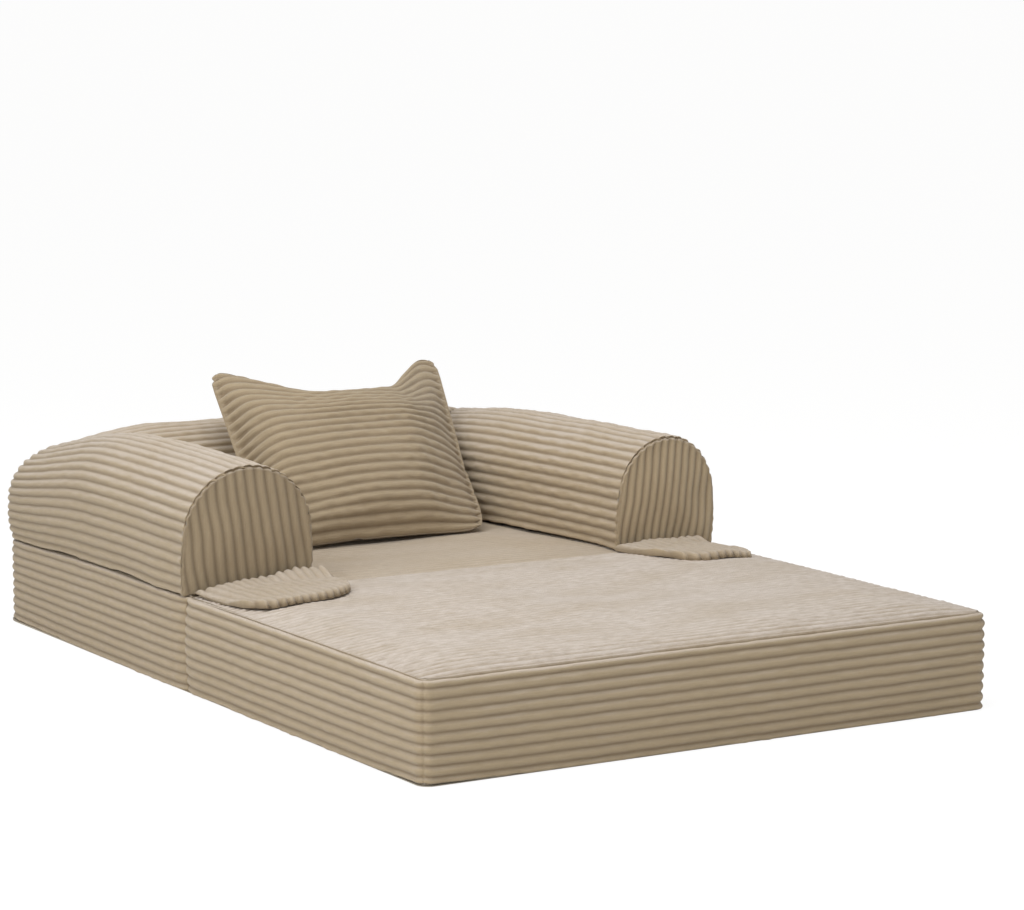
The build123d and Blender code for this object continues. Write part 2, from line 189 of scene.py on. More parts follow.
def wander(a, b, wave, seed):
    """Smooth unevenness of about -1 to 1: a third of the sum of eight sine waves in seeded directions, each
    of 0.8 to 1.4 times the wavelength."""
    random = np.random.default_rng(seed)
    total = 0
    for turn, phase, stretch in random.uniform(0, 1, (8, 3)):
        way = 2 * math.pi * turn
        distance = a * math.cos(way) + b * math.sin(way)
        total = total + np.sin(distance * 2 * math.pi / wave * (0.7 + 0.6 * stretch) + phase * 7)
    return total / 3


def rib_height(across, pitch):
    """Height of a rib from 0 in its valleys to 1 on its crest, by (sin^2 + floor)^power: broad on top and
    soft below."""
    low = rib_floor**rib_power
    high = (1 + rib_floor) ** rib_power
    return ((np.sin(math.pi * across / pitch) ** 2 + rib_floor) ** rib_power - low) / (high - low)


def outward(points):
    """Unit normals of a grid of points: the cross product of its directions, turned away from its middle."""
    normal = np.cross(np.gradient(points, axis=0), np.gradient(points, axis=1))
    normal /= np.linalg.norm(normal, axis=-1, keepdims=True) + 1e-12
    away = points - points.mean(axis=1, keepdims=True)
    return normal if (normal * away).sum() > 0 else -normal


def quilt(points, along, across, cover, pitch=rib_pitch, depth=rib_depth, seed=1):
    """Raises ribs on a grid of points, along its normals. along and across are metres of cloth from one
    corner, and cover fades the ribs from 1 to 0. Each rib wavers a little and is fuller in some places."""
    waver = across + rib_waver * wander(along, across, 0.07, seed)
    height = rib_height(waver, pitch)
    fullness = 1 + 0.17 * wander(along, across, 0.032, seed + 1)
    fullness = fullness + 0.10 * wander(along, across, 0.16, seed + 2)
    lift = depth * (height * fullness - 1) * cover
    return points + outward(points) * lift[..., None], height * cover + (1 - cover) * 0.5


def skin(name, points, along, across, rib, material):
    """Mesh over rings of points, each ring a closed loop, with one flat face on each end ring. Its UV map
    holds metres of cloth along and across the ribs; attributes hold rib height and, for painted top light, how
    much it faces up."""
    rings, count = points.shape[:2]
    index = np.arange(rings * count).reshape(rings, count)
    near = index[:-1]
    far = index[1:]
    faces = np.stack([near, np.roll(near, -1, 1), np.roll(far, -1, 1), far], -1).reshape(-1, 4).tolist()
    faces += [index[0][::-1].tolist(), index[-1].tolist()]
    mesh = bpy.data.meshes.new(name)
    mesh.from_pydata(points.reshape(-1, 3).tolist(), [], faces)
    mesh.attributes.new("rib", "FLOAT", "POINT").data.foreach_set("value", rib.ravel().astype(np.float32))
    corner = np.zeros(len(mesh.loops), int)
    mesh.loops.foreach_get("vertex_index", corner)
    cloth = np.stack([along.ravel(), across.ravel()], -1)[corner]
    mesh.uv_layers.new(name="cloth").data.foreach_set("uv", cloth.ravel())
    shell = bmesh.new()
    shell.from_mesh(mesh)
    bmesh.ops.remove_doubles(shell, verts=shell.verts, dist=1e-5)
    bmesh.ops.recalc_face_normals(shell, faces=shell.faces)
    shell.to_mesh(mesh)
    shell.free()
    facing = np.zeros((len(mesh.vertices), 3), np.float32)
    mesh.vertex_normals.foreach_get("vector", facing.ravel())
    # Painted top light: how much each point faces up, which the finish turns into a paler colour.
    painted_top_light = smooth(0.15, 0.95, facing[:, 2]).astype(np.float32)
    mesh.attributes.new("painted_top_light", "FLOAT", "POINT").data.foreach_set("value", painted_top_light)
    mesh.shade_smooth()
    sides = np.zeros(len(mesh.polygons), np.int32)
    mesh.polygons.foreach_get("loop_total", sides)
    mesh.polygons.foreach_set("use_smooth", sides <= 4)
    mesh.materials.append(material)
    piece = bpy.data.objects.new(name, mesh)
    scene.collection.objects.link(piece)
    return piece


def dress(piece, body, nodes):
    """Puts a padded piece on its body, in place of the plain solids of the same part."""
    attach(piece, body)
    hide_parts(*nodes)


# Tops of the two blocks: one ribbed cloth each, its ribs running across the bed, crowned over
# the foam, rolled down at the far end and sewn to the boxing in a sunken seam along the edge.
base_low, base_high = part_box("front_boxing")
rear_low, rear_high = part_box("rear_boxing")
half_width = base_high.x
base_height = base_high.z
front_y = base_low.y
fold_y = (base_high.y + rear_low.y) / 2
rear_y = rear_high.y
front_radius = 0.026
rear_radius = 0.100
seam_inset = 0.014
seam_overlap = 0.004
top_to_fold = 0.004
top_lift = 0.001
top_samples = 8
top_underside = 0.0062
top_relief = 0.0042
edge_strip = 0.03
least_corner = 0.012
roll_depth = 0.003
roll_width = 0.007
top_unevenness = 0.0022
right_spread = 0.024
rear_left_draw = 0.009
settling = 0.012
fold_draw = 0.009
fold_draw_length = 0.018


def corner_pull(x, reach, radius):
    """How far a rounded corner draws the end edge back at x, by the circle's formula."""
    past = np.clip(np.abs(x) - (reach - radius), 0, radius)
    return radius - np.sqrt(radius**2 - past**2)


def eased(x, y):
    """The foam has spread to the right, and drawn in at the rear left: x, moved over in smooth steps."""
    drawn = rear_left_draw * smooth(0.2, rear_y, y) * smooth(0, -half_width, x)
    return x + right_spread * smooth(-half_width, half_width, x) + drawn


def settled(x, y):
    """How far the foam has sunk towards the rear left corner, in smooth steps."""
    return settling * smooth(0.35, 0.98, y / rear_y) * smooth(-0.55, -1.0, x / half_width)


def drawn_in(y):
    """How far the covers draw both ends of a block in at the fold: an exponential of the distance from it."""
    return fold_draw * np.exp(-np.abs(y - fold_y) / fold_draw_length)


def block_top(name, end_y, radius, crown, material, seed):
    """Grid of x across the bed and y from the fold to the far end. Its height is a crown that falls away
    towards each edge as a power, and rolls down into the seam over its last few millimetres."""
    way = 1 if end_y > fold_y else -1
    inset = seam_inset - seam_overlap
    reach = half_width - inset
    ribs = round(abs(end_y - fold_y) / rib_pitch)
    side = edge_strip * np.linspace(0, 1, 7)[:-1] ** 2
    middle = np.linspace(-reach + edge_strip, reach - edge_strip, 76)
    x = np.concatenate([side - reach, middle, (reach - side)[::-1]])
    t = np.linspace(0, 1, ribs * top_samples + 1)
    far = end_y - way * (inset + corner_pull(x, reach, max(radius - inset, least_corner)))
    near = fold_y + way * top_to_fold
    grid_x = np.repeat(x[:, None], len(t), 1)
    grid_y = near + (far[:, None] - near) * t
    crown_z = crown(grid_x, grid_y)
    free_edge = np.minimum(np.abs(far[:, None] - grid_y), reach - np.abs(grid_x))
    edge = np.minimum(free_edge, np.abs(grid_y - near))
    roll = roll_depth * (1 - np.clip(edge / roll_width, 0, 1)) ** 2 + settled(grid_x, grid_y)
    grid_x = grid_x * (1 - drawn_in(grid_y) / half_width)
    uneven = top_unevenness * wander(grid_x, grid_y, 0.42, seed) * smooth(0, 0.1, edge)
    top = np.stack([eased(grid_x, grid_y), grid_y, base_height + top_lift + crown_z - roll + uneven], -1)
    below = top[:, ::-(len(t) // 4)][:, :5].copy()
    below[..., 2] = base_height - top_underside - settled(below[..., 0], below[..., 1])
    points = np.concatenate([top, below], 1)
    # Lying on it has pressed the ribs flat in the middle, and they stand up towards the free edges.
    worn = 0.30 + 0.20 * wander(grid_x, grid_y, 0.5, seed + 5) + 0.65 * (1 - smooth(0.03, 0.15, free_edge))
    cover = np.concatenate([np.clip(worn, 0.10, 1) * smooth(0.0, 0.006, edge), np.zeros(below.shape[:2])], 1)
    along = points[..., 0]
    across = points[..., 1]
    ribbed, rib = quilt(points, along, np.abs(across - near), cover, depth=top_relief, seed=seed)
    return skin(name, ribbed, along, across, rib, material)


front_rise = 0.015
joint_rise = 0.0025


def front_crown(x, y):
    """Height of the front block's top: parabolas up from the two sides and from the fold, where it stays low,
    and a fourth power up from the far end. It is level further in than 0.16, 0.34 and 0.15 m."""
    side = np.clip((half_width - np.abs(x)) / 0.16, 0, 1)
    end = np.clip((y - front_y) / 0.15, 0, 1)
    joint = np.clip((fold_y - y) / 0.34, 0, 1)
    rise = front_rise * (1 - (1 - side) ** 2) * (1 - (1 - end) ** 4) * (1 - 0.85 * (1 - joint) ** 2)
    return rise + joint_rise * (1 - (1 - joint) ** 2)


# The tops' copy of the corduroy has far more painted top light than the sides', in bolder patches.
lit_top_corduroy = corduroy("corduroy_tops", top_light_share=0.92, top_light_patchiness=0.80, streaking=0.44, grain=(36, 130, 1))
front_top = block_top("front_top_cover", front_y, front_radius, front_crown, lit_top_corduroy, seed=11)
dress(front_top, "front_section", ["front_top_panel"])

arm_low, arm_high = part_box("left_arm_cover")
arm_width = arm_high.x - arm_low.x
seat_half = half_width - arm_width
seat_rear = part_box("back_cover")[0].y
seat_rise = 0.003


def seat_crown(x, y):
    """Height of the seat: parabolas up from the arms, the back and the fold, level 0.12 m further in."""
    side = np.clip((seat_half - np.abs(x)) / 0.10, 0, 1)
    end = np.clip(np.minimum(seat_rear - y, y - fold_y) / 0.12, 0, 1)
    return seat_rise * (1 - (1 - side) ** 2) * (1 - (1 - end) ** 2)


# The seat's copy has less painted top light than the sides': painted shade between the arms and under the
# pillow.
shaded_seat_corduroy = corduroy("corduroy_seat", top_light_share=0.35, top_light_patchiness=0.35, streaking=0.30, grain=(36, 130, 1))
seat = block_top("seat_cover", rear_y, rear_radius, seat_crown, shaded_seat_corduroy, seed=12)
dress(seat, "seat_base", ["seat_panel"])


# Boxing: a ribbed band round both sides and the far end of each block. Its top rib rolls over
# the edge to the seam of the top, its bottom one tucks under, and the foam swells it slightly.
band_rise = 0.004
band_pitch = 0.0206
band_step = 0.013
tuck_radius = 0.006
upright_samples = 84
fold_stretch = 0.055
band_unevenness = 0.0010
first_rib = 0.0035
corner_reach = 0.16
corner_seam = 0.004
corner_lift = 0.007
lift_length = 0.12


def block_path(end_y, radius, step):
    """Plan of the band from the fold along the left side, round both far corners and back, as points and
    normals. Its steps are closer over the stretch that is drawn in at the fold."""
    way = 1 if end_y > fold_y else -1
    reach = half_width - radius
    turn = np.linspace(0, math.pi / 2, 27)[1:-1]
    joint = np.linspace(0.001, fold_stretch, 12)[:-1]
    steps = round(abs(end_y - fold_y) / step)
    straight = np.linspace(fold_y + way * fold_stretch, end_y - way * radius, steps)
    side = np.concatenate([fold_y + way * joint, straight])
    across = np.linspace(-reach, reach, round(2 * reach / step))
    left = np.stack([0 * side - half_width, side, 0 * side - 1, 0 * side], -1)
    corner = np.stack([-reach - radius * np.cos(turn), end_y - way * radius + way * radius * np.sin(turn),
                       -np.cos(turn), way * np.sin(turn)], -1)
    end = np.stack([across, 0 * across + end_y, 0 * across, 0 * across + way], -1)
    flip = np.array([-1, 1, -1, 1])
    path = np.concatenate([left, corner, end, corner[::-1] * flip, left[::-1] * flip])
    return path[:, :2], path[:, 2:]


def band_profile(height, roll_low, roll_high):
    """Outer line of the band: quarter circle in from below, upright, quarter circle over the top. Gives its
    distance out, its height and its length so far."""
    low = np.linspace(-math.pi / 2, 0, 10)[:-1]
    high = np.linspace(0, math.pi / 2, 14)[1:]
    upright = np.linspace(roll_low, height - roll_high, upright_samples)
    out = np.concatenate([roll_low * (np.cos(low) - 1), 0 * upright, roll_high * (np.cos(high) - 1)])
    z = np.concatenate([roll_low * (1 + np.sin(low)), upright, height - roll_high + roll_high * np.sin(high)])
    length = np.concatenate([[0], np.cumsum(np.hypot(np.diff(out), np.diff(z)))])
    return out, z, length


def block_band(name, end_y, radius, swell, seam_depth, seed):
    """Carries the band's line along its plan. The swell is a half sine over its height, less at the corners,
    and an exponential draws it in to an upright seam at each corner. Another lifts the lower edge off the
    floor at the left corner. Its ribs are counted down from the top seam."""
    path, normal = block_path(end_y, radius, band_step)
    path = path - normal * drawn_in(path[:, 1:])
    out, z, length = band_profile(base_height + band_rise, tuck_radius, seam_inset)
    run = np.concatenate([[0], np.cumsum(np.linalg.norm(np.diff(path, axis=0), axis=1))])
    along = np.repeat(run[:, None], len(length), 1)
    across = np.repeat(length[-1] - first_rib - length[None], len(run), 0)
    corner = np.minimum(*(np.hypot(path[:, 0] - s * half_width, path[:, 1] - end_y) for s in (-1, 1)))
    flat = smooth(0, corner_reach, corner)[:, None]
    seam = np.abs(run - run[corner.argmin()])
    seam = np.minimum(seam, np.abs(run[-1] - run - run[corner.argmin()]))[:, None]
    out = out + swell * np.sin(math.pi * z / base_height) * (0.35 + 0.65 * flat)
    uneven = band_unevenness * wander(along, across * 1.5, 0.30, seed)
    out = out + uneven - seam_depth * np.exp(-seam / corner_seam)
    sunk = 1 - settled(path[:, :1], path[:, 1:]) / base_height
    lift = corner_lift * np.exp(-np.hypot(path[:, :1] + half_width, path[:, 1:] - end_y) / lift_length)
    z = z * sunk + lift * (1 - z / base_height) ** 2
    path = np.stack([eased(path[:, 0], path[:, 1]), path[:, 1]], -1)
    outer = np.stack([path[:, :1] + normal[:, :1] * out, path[:, 1:] + normal[:, 1:] * out, z + 0 * out], -1)
    lining = np.array([(-seam_inset, -top_underside), (-0.0085, -0.0078), (-0.0062, -0.014),
                       (-0.0062, 0.020 - base_height), (-0.0075, 0.003 - base_height)])
    inner = np.stack([path[:, :1] + normal[:, :1] * lining[:, 0], path[:, 1:] + normal[:, 1:] * lining[:, 0],
                      (base_height + lining[:, 1]) * sunk], -1)
    points = np.concatenate([outer, inner], 1)
    cover = np.concatenate([np.ones(outer.shape[:2]), np.zeros(inner.shape[:2])], 1)
    cover[:, 0] = 0
    along = np.concatenate([along, along[:, :5]], 1)
    across = np.concatenate([across, across[:, :5]], 1)
    ribbed, rib = quilt(points, along, across, cover, pitch=band_pitch, seed=seed)
    return skin(name, ribbed, along, across, rib, side_corduroy)


front_band = block_band("front_boxing_cover", front_y, front_radius, swell=0.006, seam_depth=0.0035, seed=21)
dress(front_band, "front_section", ["front_boxing"])
rear_band = block_band("rear_boxing_cover", rear_y, rear_radius, swell=0.002, seam_depth=0, seed=22)
dress(rear_band, "seat_base", ["rear_boxing"])


# Foam of the blocks: one open-cell block in each, cut a little smaller than its cover, which
# holds it by its fit alone.
foam_margin = 0.011
fold_room = 0.008
foam = Finish("foam", Specular_IOR_Level=0.1)
cells = foam.noise(foam.place((420, 420, 420)), 3, 0.7)
foam.feed(foam.shader.inputs["Base Color"], foam.mix(foam.spread(cells, 0.3, 0.7), (0.62, 0.56, 0.40, 1),
                                                     (0.82, 0.78, 0.62, 1)))
foam.feed(foam.shader.inputs["Roughness"], 0.9 + cells * 0.1)
foam.feed(foam.shader.inputs["Normal"], foam.bump(cells, 0.001))


def block_foam(name, end_y, radius):
    """Rounded oblongs, |x/a|^16 + |z/b|^16 = 1, from the fold to the far end, where a follows the corners."""
    way = 1 if end_y > fold_y else -1
    t = (1 - np.cos(np.linspace(0, math.pi, 60))) / 2
    y = fold_y + way * (foam_margin + fold_room) + (end_y - fold_y - way * (2 * foam_margin + fold_room)) * t
    past = np.clip(radius - np.abs(end_y - y), 0, radius)
    wide = half_width - foam_margin - (radius - np.sqrt(radius**2 - past**2)) - drawn_in(y)
    turn = np.linspace(0, 2 * math.pi, 64, endpoint=False)
    x = np.sign(np.cos(turn)) * np.abs(np.cos(turn)) ** (1 / 8) * wide[:, None]
    tall = base_height / 2 - foam_margin
    z = base_height / 2 + np.sign(np.sin(turn)) * np.abs(np.sin(turn)) ** (1 / 8) * tall + 0 * x
    z = z * (1 - settled(x, y[:, None]) / base_height)
    points = np.stack([eased(x, y[:, None]), y[:, None] + 0 * x, z], -1)
    return skin(name, points, x, z, 0 * x, foam.material)


dress(block_foam("front_foam", front_y, front_radius), "front_section", ["front_foam_core"])
dress(block_foam("rear_foam", rear_y, rear_radius), "seat_base", ["rear_foam_core"])


# Fold panels: the same cloth on the two faces that meet at the fold, between the ends of the
# bands. Below the upper edge they are hollowed, which leaves room for the flaps when they hang
# over the joint of the folded bed.
panel_margin = 0.015
panel_to_fold = 0.0012
panel_drop = 0.004
panel_roll = 0.010
hollow_depth = 0.0085


def fold_panel(name, way, seed):
    """Band across the bed, its line upright as the boxing's, set back by smooth steps between its edges."""
    out, z, length = band_profile(base_height - panel_drop, tuck_radius, panel_roll)
    x = np.linspace(-half_width + panel_margin, half_width - panel_margin, 90)
    along = np.repeat(x[:, None], len(length), 1)
    across = np.repeat(length[None], len(x), 0)
    face = fold_y + way * panel_to_fold
    place = eased(along, fold_y)
    hollow = hollow_depth * smooth(base_height - 0.010, base_height - 0.026, z) * smooth(0.004, 0.020, z)
    outer = np.stack([place, face + way * (hollow - out) + 0 * along, z + 0 * along], -1)
    lining = np.array([(-0.0145, -0.0085), (-0.0140, -0.012), (-0.0140, 0.004 - base_height)])
    inner = np.stack([place[:, :3], face - way * lining[:, 0] + 0 * along[:, :3],
                      base_height + lining[:, 1] + 0 * along[:, :3]], -1)
    points = np.concatenate([outer, inner], 1)
    cover = np.concatenate([np.ones(outer.shape[:2]), np.zeros(inner.shape[:2])], 1)
    along = np.concatenate([along, along[:, :3]], 1)
    across = np.concatenate([across, across[:, :3]], 1)
    ribbed, rib = quilt(points, along, across, cover, pitch=length[-1] / 10, seed=seed)
    return skin(name, ribbed, along, across, rib, side_corduroy)


dress(fold_panel("front_fold_cover", -1, 31), "front_section", ["front_fold_panel"])
dress(fold_panel("rear_fold_cover", 1, 32), "seat_base", ["rear_fold_panel"])


# Bolster round the seat: arms and back of one arched section, foam under a ribbed cover, with
# rounded outer corners and a mitred seam over each. The feet of the cover roll under.
bolster_height = arm_high.z - base_height
arch_radius = arm_width / 2
spring_height = bolster_height - arch_radius
foot_roll = 0.008
arch_samples = 9
bolster_lift = 0.002
cover_swell = 0.0011
foot_sag_depth = 0.003
foam_inset = 0.009
foot_to_base = 0.0012
foam_to_base = 0.003
cap_room = 0.009
cap_seam = 0.0012
arm_swell = 0.004
front_draw = {-1: 0.002, 1: 0.033}
inner_draw = 0.022
top_lean = 0.006
rear_spread = 0.012
back_swell = 0.003
cap_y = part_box("left_arm_end_cap")[0].y + cap_room
corner_y = rear_y - rear_radius
corner_x = half_width - rear_radius


def arch_line():
    """Line over the bolster from its outer foot to its inner one: quarter circles under, uprights and a half
    circle. Gives the distance in from the outer face, the height, and the length so far."""
    low = np.linspace(math.pi, math.pi / 2, 40)
    out_foot = np.stack([foot_roll + foot_roll * np.cos(low), foot_roll - foot_roll * np.sin(low)], -1)[::-1]
    rise = np.linspace(foot_roll, spring_height, 100)[1:-1]
    turn = np.linspace(0, math.pi, 400)
    top = np.stack([arch_radius - arch_radius * np.cos(turn), spring_height + arch_radius * np.sin(turn)], -1)
    left = np.concatenate([out_foot, np.stack([0 * rise, rise], -1)])
    right = left[::-1] * [-1, 1] + [arm_width, 0]
    line = np.concatenate([left, top, right])
    length = np.concatenate([[0], np.cumsum(np.linalg.norm(np.diff(line, axis=0), axis=1))])
    even = np.linspace(0, length[-1], round(length[-1] / rib_pitch) * arch_samples + 1)
    return np.interp(even, length, line[:, 0]), np.interp(even, length, line[:, 1]), even


def bolster_piece(name, rings, ribs, place, form, seams, seed):
    """Carries the arch along a run whose length differs from point to point: place(inward, share) gives a
    plan position and the run's length there, and form its final place. Both ends round into their seams by a
    quarter ellipse, given as depth and reach. The foam is the same form, drawn in."""
    inward, height, length = arch_line()
    end_share = 0.009
    ends = end_share * np.linspace(0, 1, 8)[:-1] ** 1.5
    share = np.concatenate([ends, np.linspace(end_share, 1, rings)])[:, None]
    plan, run = place(inward[None], share)
    outer = form(plan, inward[None] + 0 * share, height[None] + 0 * share)
    outer[..., 2] += base_height + bolster_lift
    normal = outward(outer)
    along = share * run
    across = np.repeat(length[None], len(share), 0)
    end = np.minimum(along, run - along)
    pinch = 0
    for gone, (depth, reach) in zip((along, run - along), seams):
        pinch = pinch + depth * (1 - np.sqrt(1 - np.clip(1 - gone / reach, 0, 1) ** 2))
    swell = cover_swell * wander(along, across, 0.24, seed) * smooth(0, 0.05, end)
    foot_sag = foot_sag_depth * wander(along, 0 * along, 0.33, seed + 9) * np.exp(-height[None] / 0.03)
    outer = outer + normal * (swell - pinch)[..., None]
    sunk = settled(outer[..., 0], outer[..., 1])
    outer[..., 2] += np.maximum(foot_sag, -0.0005) - sunk
    ribbed, rib = quilt(outer, along, across, np.ones(outer.shape[:2]), pitch=length[-1] / ribs, seed=seed)
    ribbed[..., 2] = np.maximum(ribbed[..., 2], base_height + foot_to_base - sunk)
    cover = skin(f"{name}_cover_cloth", ribbed, along, across, rib, side_corduroy)
    dress(cover, "seat_base", [f"{name}_cover"])
    inner = (outer - normal * foam_inset)[9:-2, ::6]
    inner[..., 2] = np.maximum(inner[..., 2], base_height + foam_to_base - sunk[9:-2, ::6])
    core = skin(f"{name}_foam", inner, along[9:-2, ::6], across[9:-2, ::6], 0 * inner[..., 0], foam.material)
    dress(core, "seat_base", [f"{name}_core"])


def arm_place(side):
    """Straight run back from the end cap, then an eighth turn about the corner's centre for what lies
    outside it."""

    def place(inward, share):
        straight = corner_y - cap_y - np.maximum(inward - rear_radius, 0)
        radius = np.maximum(rear_radius - inward, 0)
        run = straight + radius * math.pi / 4
        gone = share * run
        turn = np.maximum(gone - straight, 0) / np.maximum(radius, 1e-6)
        x = half_width - inward - radius * (1 - np.cos(turn))
        y = cap_y + cap_seam + np.minimum(gone, straight) + radius * np.sin(turn)
        return np.stack([side * x, y], -1), run

    return place


def bulge(inward, height):
    """The uprights swell apart: a half sine over their height, from -1 at the outer face to 1 at the inner."""
    return np.sin(math.pi * np.clip(height / spring_height, 0, 1)) * (2 * inward / arm_width - 1)


def arm_form(side):
    """Final place of the arm's points: higher at the front than at the rear corner, leaning a little at the
    top, and drawn to the right at the front, where loose foam has shifted on its base."""

    def form(plan, inward, height):
        gone = (plan[..., 1] - cap_y) / (rear_y - cap_y)
        front = 1 - smooth(0.0, 0.8, gone)
        if side < 0:
            rise = height * (1.038 + 0.030 * smooth(0.0, 0.35, gone) - 0.24 * smooth(0.50, 1.0, gone))
        else:
            rise = height * (1 - 0.010 * front - 0.14 * smooth(0.5, 1.0, gone))
        swell = arm_swell * bulge(inward, height)
        drawn = front_draw[side] + inner_draw * inward / arm_width
        x = plan[..., 0] - side * swell + front * (drawn + top_lean * height / bolster_height)
        if side < 0:
            x = x + (1 - front) * rear_spread * (1 - inward / arm_width) * np.exp(-height / 0.06)
        return np.stack([x, plan[..., 1], rise], -1)

    return form


rib_end = (0.0012, 0.0025)
mitre = (0.006, 0.018)
arm_ribs = {"left": 31, "right": 28}
for name, side, ribs, seed in (("left", -1, arm_ribs["left"], 41), ("right", 1, arm_ribs["right"], 44)):
    bolster_piece(f"{name}_arm", 96, ribs, arm_place(side), arm_form(side), (rib_end, mitre), seed)


def back_place(inward, share):
    """The back's run: an eighth turn, straight across and an eighth turn, shorter for what is further in."""
    straight = 2 * (corner_x - np.maximum(inward - rear_radius, 0))
    radius = np.maximum(rear_radius - inward, 0)
    run = straight + radius * math.pi / 2
    middle = (share - 0.5) * run
    over = np.maximum(np.abs(middle) - straight / 2, 0) / np.maximum(radius, 1e-6)
    x = np.sign(middle) * (np.minimum(np.abs(middle), straight / 2) + radius * np.sin(over))
    y = rear_y - inward - radius * (1 - np.cos(over))
    return np.stack([x, y], -1), run


def back_form(plan, inward, height):
    """Final place of the back's points: full at the middle, lower at both corners, most at the left one."""
    corner = smooth(0.30, 0.62, plan[..., 0]) + 1.30 * smooth(-0.27, -0.57, plan[..., 0])
    swell = back_swell * bulge(inward, height)
    return np.stack([plan[..., 0], plan[..., 1] - swell, height * (0.95 - 0.09 * corner)], -1)


bolster_piece("back", 112, 31, back_place, back_form, (mitre, mitre), 47)


# End caps: the same cloth with upright ribs, cut to the arch and sewn round their edge to the
# front end of each arm.
cap_ribs = 13
cap_inset = 0.0008
cap_edge = 0.0035
cap_roll = 0.003
cap_dome = 0.006
cap_unevenness = 0.0015
cap_relief = 0.0034
cap_depth = 0.008
cap_samples = 40


def end_cap(name, side, tilt, material, seed):
    """Grid of upright columns under the arch's outline, z from 0 to spring + sqrt(R^2 - x^2), domed a little
    and moved as the arm is. Its edge follows the arm's ribs, counted along the arch from the outer foot."""
    radius = arch_radius - cap_inset
    x = np.linspace(-radius, radius, cap_ribs * 10 + 1)
    t = np.concatenate([np.linspace(0, 1, cap_samples), [0.985, 0.5, 0.015]])
    top = spring_height + np.sqrt(np.maximum(radius**2 - x**2, 0))
    grid_x = np.repeat(x[:, None], len(t), 1)
    grid_z = 0.002 + (top[:, None] - 0.004) * t
    above = np.maximum(grid_z - spring_height, 0)
    edge = np.minimum(radius - np.hypot(grid_x, above), grid_z + 0.004)
    rim = np.clip(edge / cap_edge, 0, 1)
    dome = cap_roll * np.sqrt(np.maximum(1 - (1 - rim) ** 2, 0)) + cap_dome * smooth(0, 0.12, edge)
    dome = dome + cap_unevenness * wander(grid_x, grid_z, 0.12, seed + 1) * smooth(0, 0.03, edge)
    waver = grid_x + radius - tilt * (grid_z - 0.1) + 0.0005 * wander(grid_z, grid_x, 0.08, seed)
    height = rib_height(waver, 2 * radius / cap_ribs)
    cover = smooth(-0.002, 0.014, edge)
    cover[:, cap_samples:] = 0
    y = cap_y - cap_inset - dome + cap_relief * (1 - height) * cover
    y[:, cap_samples:] = cap_y + cap_depth
    upright = foot_roll * (math.pi / 2 - 1) + spring_height
    outer = side * grid_x
    down = np.sign(outer) * np.maximum(spring_height - grid_z, 0)
    around = upright + arch_radius * np.arctan2(above, outer) - down
    pitch = (2 * upright + math.pi * arch_radius) / arm_ribs[name]
    scallop = rib_depth * (rib_height(around, pitch) - 1) * (1 - smooth(0, 0.010, edge))
    scallop = scallop / np.maximum(np.hypot(grid_x, above), 0.02)
    grid_x = grid_x * (1 + scallop)
    grid_z = grid_z + above * scallop
    moved = arm_form(side)(np.stack([side * (half_width - arch_radius) + grid_x, y], -1),
                           arch_radius - side * grid_x, grid_z)
    moved[..., 2] += base_height
    rib = 0.5 + (height - 0.5) * cover
    piece = skin(f"{name}_end_cap_cloth", moved, grid_z, grid_x, rib, material)
    dress(piece, "seat_base", [f"{name}_arm_end_cap"])


# The left cap's copy is darker all over: painted shade, as the left lamp lights it more than the right cap.
shaded_left_cap_corduroy = corduroy("corduroy_left_cap", top_light_share=0.50, top_light_patchiness=0.35, streaking=0.30, tone=0.84)
end_cap("left", -1, tilt=-0.15, material=shaded_left_cap_corduroy, seed=51)
end_cap("right", 1, tilt=0.11, material=side_corduroy, seed=53)


# Flaps: half-moon pieces of quilted cloth sewn along the foot of each end cap. They lie on the
# front block with ribs running forward, and each rib ends in a bead round the curved edge.
flap_pitch = 0.0200
flap_thickness = 0.0155
flap_edge = 0.009
flap_least_depth = 0.012
flap_beads = 0.006
flap_unevenness = 0.005
flap_wave = 0.002
flap_to_hinge = 0.006
flap_to_top = 0.002
flap_relief = 0.0055
hang_room = 0.0028
hang_dip = 0.0060
upper_samples = 50


